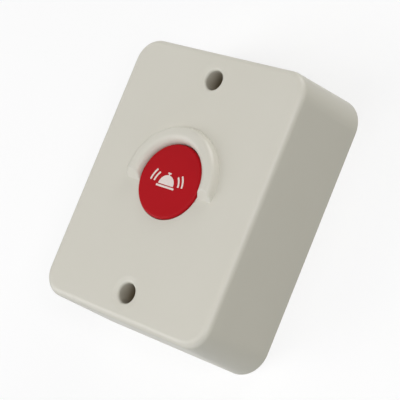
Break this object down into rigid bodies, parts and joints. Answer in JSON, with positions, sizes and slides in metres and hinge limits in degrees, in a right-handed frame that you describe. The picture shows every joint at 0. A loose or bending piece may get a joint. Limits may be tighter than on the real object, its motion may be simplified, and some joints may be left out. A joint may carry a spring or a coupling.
{
  "type": "waiter call button",
  "caption": "Wireless call button: ivory box with a sprung red push cap, a half-ring guard, a switch, radio board and battery inside, and wells for fixing screws.",
  "frame": {"origin": "middle of the back, on the table or wall that the case is fixed to", "axes": "+Z is the button's axis, out of the face; +Y runs along the case to the top of the sign on the button; +X runs across it"},
  "size_m": [0.07, 0.088, 0.0315],
  "materials": {
    "ivory_abs": "moulded ABS, satin",
    "red_abs": "moulded ABS, half gloss",
    "zinc_steel": "zinc plated",
    "spring_steel": "drawn wire",
    "nickel_strip": "nickel plated",
    "fibre": "vulcanised fibre",
    "black_nylon": "moulded nylon",
    "white_acetal": "moulded acetal",
    "contact_brass": "silver flashed brass",
    "board_laminate": "solder mask on glass epoxy",
    "cell_jacket": "steel can with a plain film jacket",
    "moulded_epoxy": "moulded epoxy",
    "nickel_can": "nickel plated",
    "capacitor_can": "drawn aluminium",
    "trimmer_ceramic": "ceramic and brass",
    "resistor_film": "glazed film with tinned ends",
    "capacitor_ceramic": "ceramic with tinned ends",
    "enamelled_copper": "enamelled copper wire"
  },
  "bodies": {
    "housing": {"front_cover": "ivory_abs", "base_plate": "ivory_abs", "cover_screws": "zinc_steel", "board_screws": "zinc_steel", "return_spring": "spring_steel", "spring_washer": "fibre", "switch_base": "black_nylon", "switch_housing": "black_nylon", "switch_terminals": "contact_brass", "switch_spring": "spring_steel", "circuit_board": "board_laminate", "battery_holder": "black_nylon", "battery_cell": "cell_jacket", "battery_contact": "nickel_strip", "battery_spring": "nickel_strip", "encoder_chip": "moulded_epoxy", "rf_transistor": "moulded_epoxy", "resonator_can": "nickel_can", "storage_capacitor": "capacitor_can", "trimmer_capacitor": "trimmer_ceramic", "resistors": "resistor_film", "ceramic_capacitors": "capacitor_ceramic", "antenna_coil": "enamelled_copper"},
    "button": {"button_cap": "red_abs"},
    "plunger": {"switch_plunger": "white_acetal", "switch_bridge": "contact_brass"}
  },
  "joints": [
    {"name": "button_press", "type": "slide", "parent": "housing", "child": "button", "axis": [0, 0, -1], "range_m": [0, 0.002], "stiffness_N_per_m": 350, "springref_m": -0.004, "deforming": ["return_spring"]},
    {"name": "plunger_press", "type": "slide", "parent": "housing", "child": "plunger", "axis": [0, 0, -1], "range_m": [0, 0.002], "deforming": ["switch_spring"]}
  ],
  "couplings": [
    {"joint": "plunger_press", "follows": "button_press", "ratio": 1}
  ]
}
